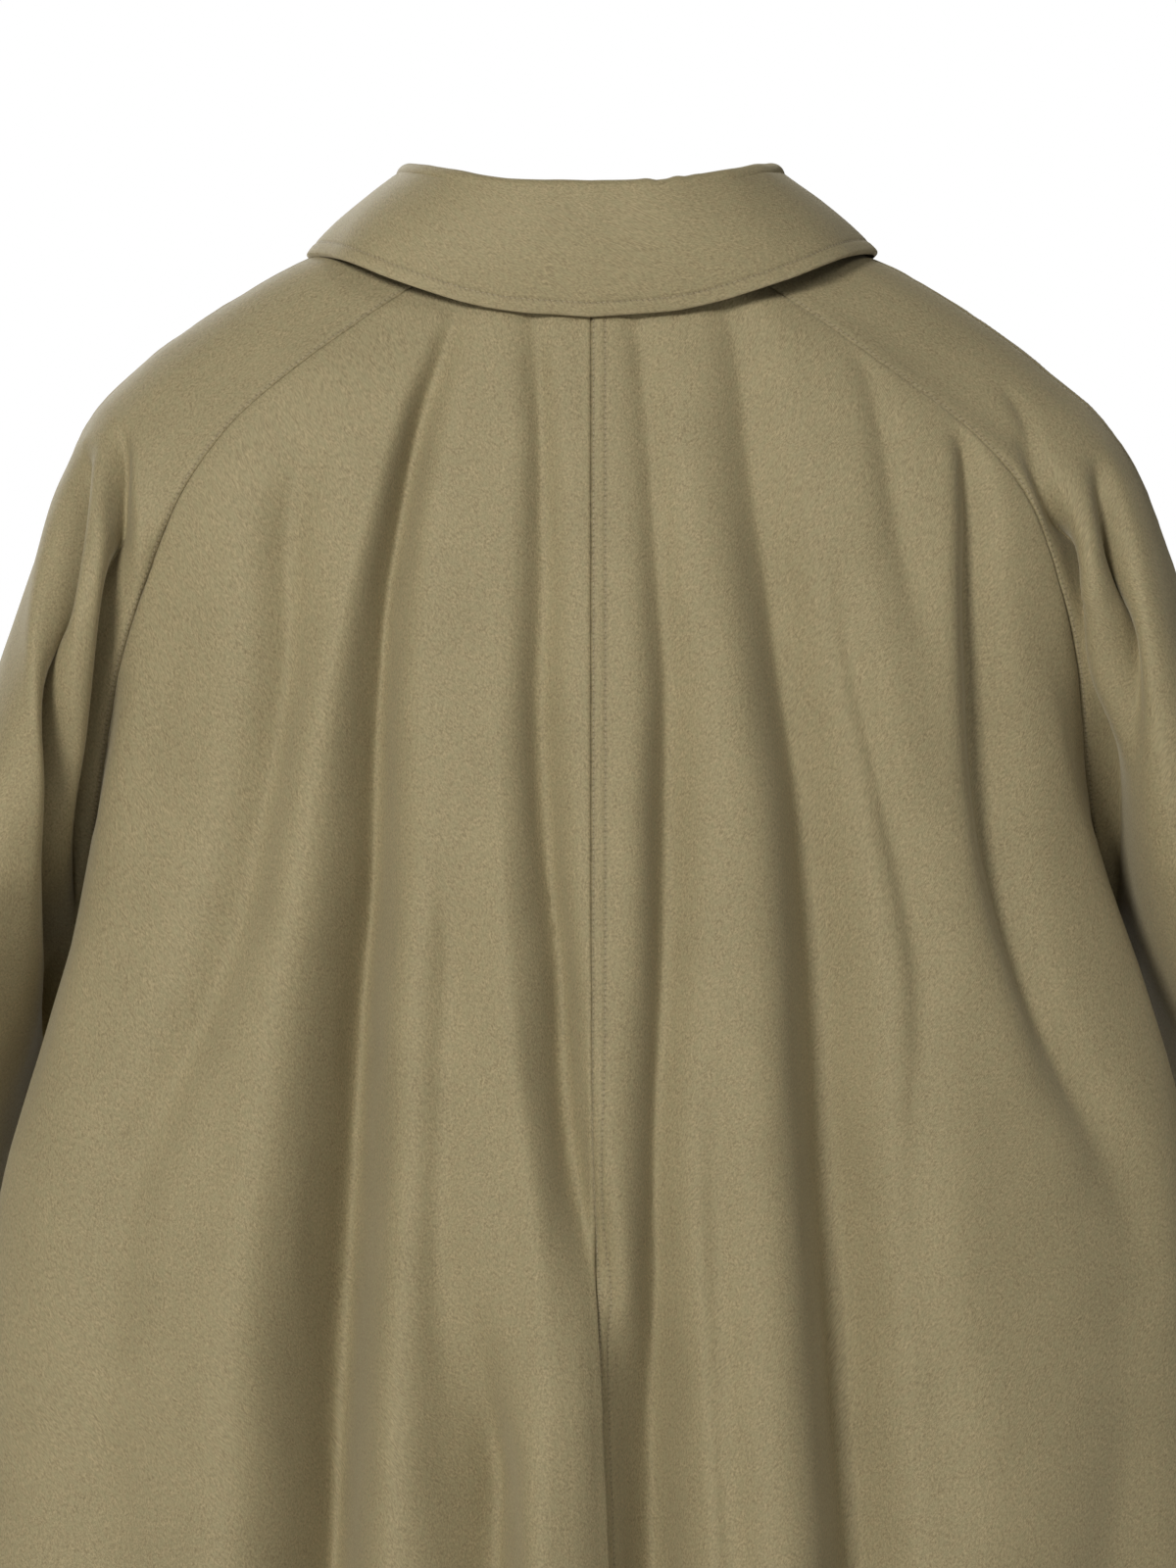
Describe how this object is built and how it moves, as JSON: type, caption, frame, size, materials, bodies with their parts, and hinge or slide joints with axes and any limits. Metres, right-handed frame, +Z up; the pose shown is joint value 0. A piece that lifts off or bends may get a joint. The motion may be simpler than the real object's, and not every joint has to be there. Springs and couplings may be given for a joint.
{
  "type": "balmacaan coat",
  "caption": "Long raglan-sleeved overcoat, filled out and hanging with no wearer: turned-down collar on a stand, buttoned front, soft drape folds, open neck, cuffs and hem.",
  "frame": {"origin": "middle of the neck opening, level with the centre back of the neck seam, where a hook, a stand or a wearer's neck holds the coat", "axes": "+Z up, -Y out of the coat's buttoned front, +X to the wearer's left"},
  "size_m": [0.8667, 0.3817, 1.1385],
  "materials": {
    "coat_cloth": "khaki cotton gabardine, dry with a slight sheen",
    "button_horn": "dark brown imitation horn, softly polished"
  },
  "bodies": {
    "root": {"back_left": "coat_cloth", "back_right": "coat_cloth", "front_left": "coat_cloth", "front_right": "coat_cloth", "sleeve_back_left": "coat_cloth", "sleeve_front_left": "coat_cloth", "sleeve_back_right": "coat_cloth", "sleeve_front_right": "coat_cloth", "collar_leaf": "coat_cloth", "collar_stand": "coat_cloth", "button_1": "button_horn", "button_2": "button_horn", "button_3": "button_horn", "button_4": "button_horn", "button_5": "button_horn"}
  },
  "joints": []
}
